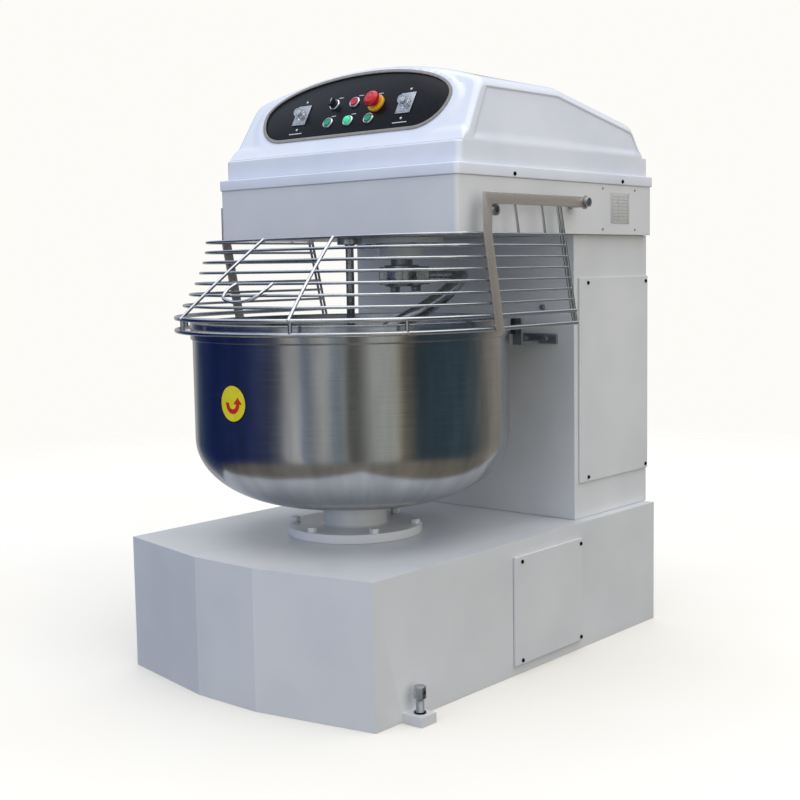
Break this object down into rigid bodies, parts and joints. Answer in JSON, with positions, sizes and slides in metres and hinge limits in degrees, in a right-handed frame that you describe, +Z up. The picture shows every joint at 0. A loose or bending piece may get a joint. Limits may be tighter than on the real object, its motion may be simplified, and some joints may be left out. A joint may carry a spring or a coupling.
{
  "type": "spiral dough mixer",
  "caption": "Floor-standing spiral dough mixer: turning steel bowl, spiral hook, lifting wire guard and sloping control panel on a boxed base and column.",
  "frame": {"origin": "on the floor in the middle of the footprint", "axes": "+Z up, front with bowl and control panel towards -Y, +X to the right seen from the front"},
  "size_m": [0.91, 1.24, 1.4663],
  "materials": {
    "housing_paint": "textured white enamel on sheet steel",
    "hood_gloss": "glossy white gelcoat",
    "stainless": "brushed stainless steel",
    "steel": "zinc plated and machined steel",
    "iron": "grey painted cast iron",
    "rubber": "moulded rubber",
    "panel_black": "black laminated panel",
    "trim": "warm grey edging",
    "red": "red moulded plastic",
    "green": "green moulded plastic",
    "yellow": "yellow moulded plastic",
    "clear": "clear moulded plastic",
    "lamp": "translucent green lens",
    "aluminium": "satin aluminium faceplate",
    "nylon": "black nylon"
  },
  "bodies": {
    "machine_frame": {"base_housing": "housing_paint", "base_side_cover_left": "housing_paint", "base_side_cover_right": "housing_paint", "bearing_housing": "housing_paint", "column_housing": "housing_paint", "column_side_cover_left": "housing_paint", "column_side_cover_right": "housing_paint", "rear_cover": "housing_paint", "head_housing": "housing_paint", "spindle_housing": "housing_paint", "hood": "hood_gloss", "breaker_bar": "stainless", "guard_pivot_left": "stainless", "guard_pivot_right": "stainless", "guard_stop_left": "stainless", "guard_stop_right": "stainless", "bowl_bearing_upper": "steel", "bowl_bearing_lower": "steel", "rim_guide_bracket": "steel", "spindle_bearing_lower": "steel", "spindle_bearing_upper": "steel", "base_frame": "iron", "bowl_gearmotor": "iron", "motor_plate": "iron", "main_motor": "iron", "bowl_belt": "rubber", "spindle_belt_1": "rubber", "spindle_belt_2": "rubber", "control_panel": "panel_black", "panel_trim": "trim", "estop_collar": "yellow", "run_lamp": "lamp", "timer_left": "aluminium", "timer_right": "aluminium", "data_plate": "aluminium", "rim_guide_pad": "nylon"},
    "bowl_turning": {"bowl": "stainless", "bowl_mounting_disc": "stainless", "bowl_shaft": "steel", "bowl_pulley": "iron"},
    "bowl_motor_rotor": {"bowl_motor_pulley": "iron"},
    "spindle": {"spindle_shaft": "steel", "spindle_pulley": "iron", "hook_clamp": "stainless", "spiral_hook": "stainless"},
    "main_motor_rotor": {"main_motor_pulley": "iron"},
    "guard": {"guard_cage": "stainless", "guard_handle": "stainless", "guard_side_bar_left": "stainless", "guard_side_bar_right": "stainless"},
    "stop_push": {"stop_button": "red"},
    "start_push": {"start_button": "green"},
    "jog_push": {"jog_button": "green"},
    "estop_push": {"estop_button": "red"},
    "selector_turn": {"selector_knob": "panel_black"},
    "timer_dial_left": {"timer_knob_left": "clear"},
    "timer_dial_right": {"timer_knob_right": "clear"},
    "screw_left": {"levelling_screw_left": "steel"},
    "screw_right": {"levelling_screw_right": "steel"}
  },
  "joints": [
    {"name": "bowl_spin", "type": "hinge", "parent": "machine_frame", "child": "bowl_turning", "pos_m": [0, -0.179, 0.3], "axis": [0, 0, 1], "continuous": true},
    {"name": "bowl_motor_spin", "type": "hinge", "parent": "machine_frame", "child": "bowl_motor_rotor", "pos_m": [0, 0.33, 0.17], "axis": [0, 0, 1], "continuous": true},
    {"name": "spindle_spin", "type": "hinge", "parent": "machine_frame", "child": "spindle", "pos_m": [0, 0.016, 1], "axis": [0, 0, 1], "continuous": true},
    {"name": "main_motor_spin", "type": "hinge", "parent": "machine_frame", "child": "main_motor_rotor", "pos_m": [0, 0.43, 1.116], "axis": [0, 0, 1], "continuous": true},
    {"name": "guard_lift", "type": "hinge", "parent": "machine_frame", "child": "guard", "pos_m": [0, 0.202, 1.129], "axis": [-1, 0, 0], "range_deg": [0, 65]},
    {"name": "stop_button_push", "type": "slide", "parent": "machine_frame", "child": "stop_push", "axis": [0, 0.866, -0.5], "range_m": [0, 0.004], "stiffness_N_per_m": 300},
    {"name": "start_button_push", "type": "slide", "parent": "machine_frame", "child": "start_push", "axis": [0, 0.866, -0.5], "range_m": [0, 0.004], "stiffness_N_per_m": 300},
    {"name": "jog_button_push", "type": "slide", "parent": "machine_frame", "child": "jog_push", "axis": [0, 0.866, -0.5], "range_m": [0, 0.004], "stiffness_N_per_m": 300},
    {"name": "estop_push_in", "type": "slide", "parent": "machine_frame", "child": "estop_push", "axis": [0, 0.866, -0.5], "range_m": [0, 0.005]},
    {"name": "selector_switch", "type": "hinge", "parent": "machine_frame", "child": "selector_turn", "pos_m": [-0.067, -0.148, 1.37924], "axis": [0, 0.866, -0.5], "range_deg": [-45, 45]},
    {"name": "timer_dial_turn_left", "type": "hinge", "parent": "machine_frame", "child": "timer_dial_left", "pos_m": [-0.172, -0.1585, 1.36106], "axis": [0, 0.866, -0.5], "range_deg": [0, 300]},
    {"name": "timer_dial_turn_right", "type": "hinge", "parent": "machine_frame", "child": "timer_dial_right", "pos_m": [0.172, -0.1585, 1.36106], "axis": [0, 0.866, -0.5], "range_deg": [0, 300]},
    {"name": "levelling_left", "type": "slide", "parent": "machine_frame", "child": "screw_left", "axis": [0, 0, 1], "range_m": [0, 0.03]},
    {"name": "levelling_right", "type": "slide", "parent": "machine_frame", "child": "screw_right", "axis": [0, 0, 1], "range_m": [0, 0.03]}
  ],
  "couplings": [
    {"joint": "bowl_motor_spin", "follows": "bowl_spin", "ratio": 3.6353},
    {"joint": "main_motor_spin", "follows": "spindle_spin", "ratio": 2.5575}
  ]
}
